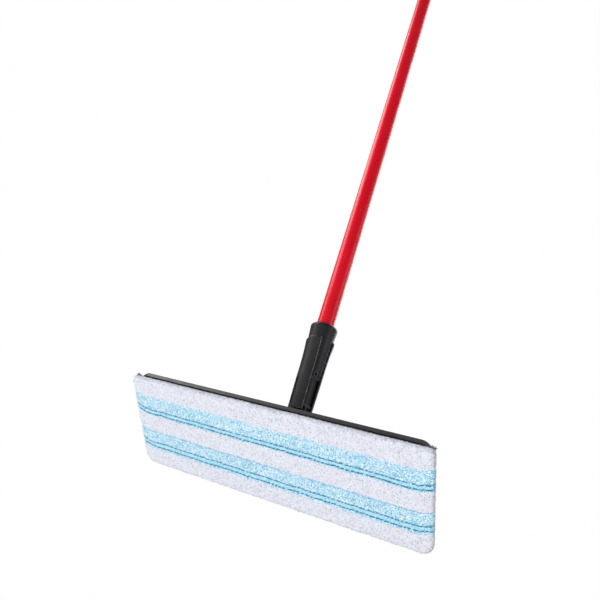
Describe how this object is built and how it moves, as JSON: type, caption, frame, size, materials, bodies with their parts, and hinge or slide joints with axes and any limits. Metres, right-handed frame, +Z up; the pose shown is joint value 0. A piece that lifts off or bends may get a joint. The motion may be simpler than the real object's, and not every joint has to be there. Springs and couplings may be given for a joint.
{
  "type": "flat mop",
  "caption": "Flat floor mop: rectangular plate with a striped microfibre pad on hook strips, two-axis swivel joint and a red tube handle with grip and hanging eye.",
  "frame": {"origin": "point of the pad's flat wiping face straight under the swivel joint, 3 mm to -X of the pad's middle", "axes": "+X along the pad, +Y towards the pad's rear edge, +Z up from the wiping face; the handle leans 41 degrees towards -Y and 3.5 degrees towards -X"},
  "size_m": [0.36, 0.8795, 1.0152],
  "materials": {
    "pad_pile": "white looped microfibre pile with light blue speckled bands and teal dashed lines",
    "pad_foam": "soft felt filling",
    "pad_backing": "dark brushed loop knit",
    "hook_tape": "moulded hooks",
    "black_plastic": "fine moulded grain, dark grey",
    "joint_plastic": "satin moulded plastic, dark grey",
    "shell_plastic": "satin moulded plastic, dark grey",
    "insert_plastic": "plain moulded",
    "cap_plastic": "satin moulded plastic",
    "grip_rubber": "soft matte",
    "red_paint": "gloss red coating on a steel tube",
    "screw_steel": "zinc plated",
    "pin_steel": "turned",
    "clip_steel": "spring steel"
  },
  "bodies": {
    "handle": {"socket": "joint_plastic", "front_shell": "shell_plastic", "rear_shell": "shell_plastic", "shell_screws": "screw_steel", "tilt_pin": "pin_steel", "tilt_pin_clip": "clip_steel", "tube": "red_paint", "tube_insert": "insert_plastic", "tube_screw": "screw_steel", "grip": "grip_rubber", "hanging_cap": "cap_plastic"},
    "knuckle": {"knuckle": "joint_plastic"},
    "head": {"pad_face": "pad_pile", "pad_core": "pad_foam", "pad_backing": "pad_backing", "front_hook_strip": "hook_tape", "rear_hook_strip": "hook_tape", "base_plate": "black_plastic", "bracket": "black_plastic", "bracket_screws": "screw_steel", "side_pin": "pin_steel", "side_pin_clip": "clip_steel"}
  },
  "joints": [
    {"name": "tilt", "type": "hinge", "parent": "handle", "child": "knuckle", "pos_m": [-0.00195, 0, 0.07394], "axis": [0.9981, 0, 0.061], "range_deg": [-44, 126]},
    {"name": "swivel", "type": "hinge", "parent": "knuckle", "child": "head", "pos_m": [0, 0, 0.042], "axis": [0, 1, 0], "range_deg": [-58.5, 51.5]}
  ]
}
